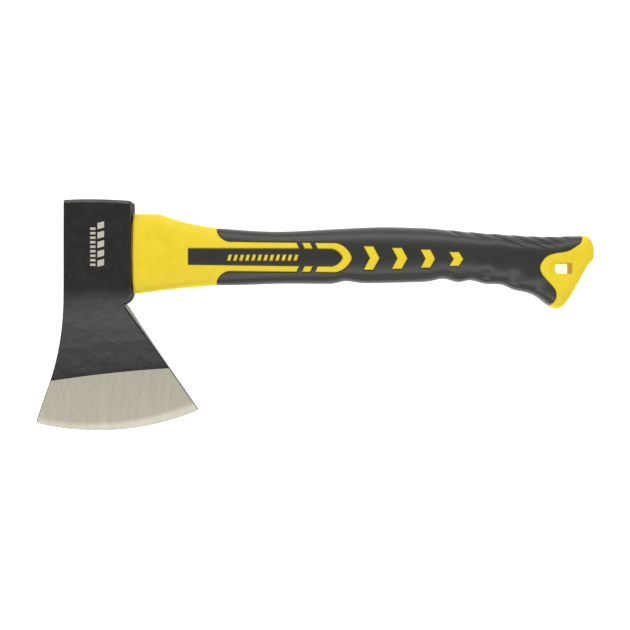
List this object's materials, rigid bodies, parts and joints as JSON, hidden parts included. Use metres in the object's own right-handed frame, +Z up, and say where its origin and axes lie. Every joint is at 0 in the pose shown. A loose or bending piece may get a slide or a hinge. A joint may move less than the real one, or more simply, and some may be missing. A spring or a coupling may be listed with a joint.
{
  "type": "hand axe",
  "caption": "Hand axe with a forged black head, ground cutting edge and a two-colour moulded handle with a hanging hole.",
  "frame": {"origin": "on the flat cheek that the axe lies on, straight under the centre of the eye", "axes": "+X along the handle away from the head, +Y towards the poll with the cutting edge towards -Y, +Z up through the blade's thickness"},
  "size_m": [0.3812, 0.1576, 0.025],
  "materials": {
    "lacquered_steel": "satin black lacquer over forged carbon steel, with the last 35 mm to the edge ground bright along the blade's height and a honed bevel",
    "cured_resin": "dark cured epoxy, slightly glossy, with a few small pits",
    "fibreglass": "sawn pultruded fibreglass bar, pale, with fine fibre ends",
    "yellow_plastic": "satin injection-moulded yellow polypropylene",
    "black_rubber": "fine-textured soft black thermoplastic rubber"
  },
  "bodies": {
    "root": {"axe_head": "lacquered_steel", "eye_resin": "cured_resin", "fibreglass_core": "fibreglass", "handle_jacket": "yellow_plastic", "grip_overmould": "black_rubber"}
  },
  "joints": []
}
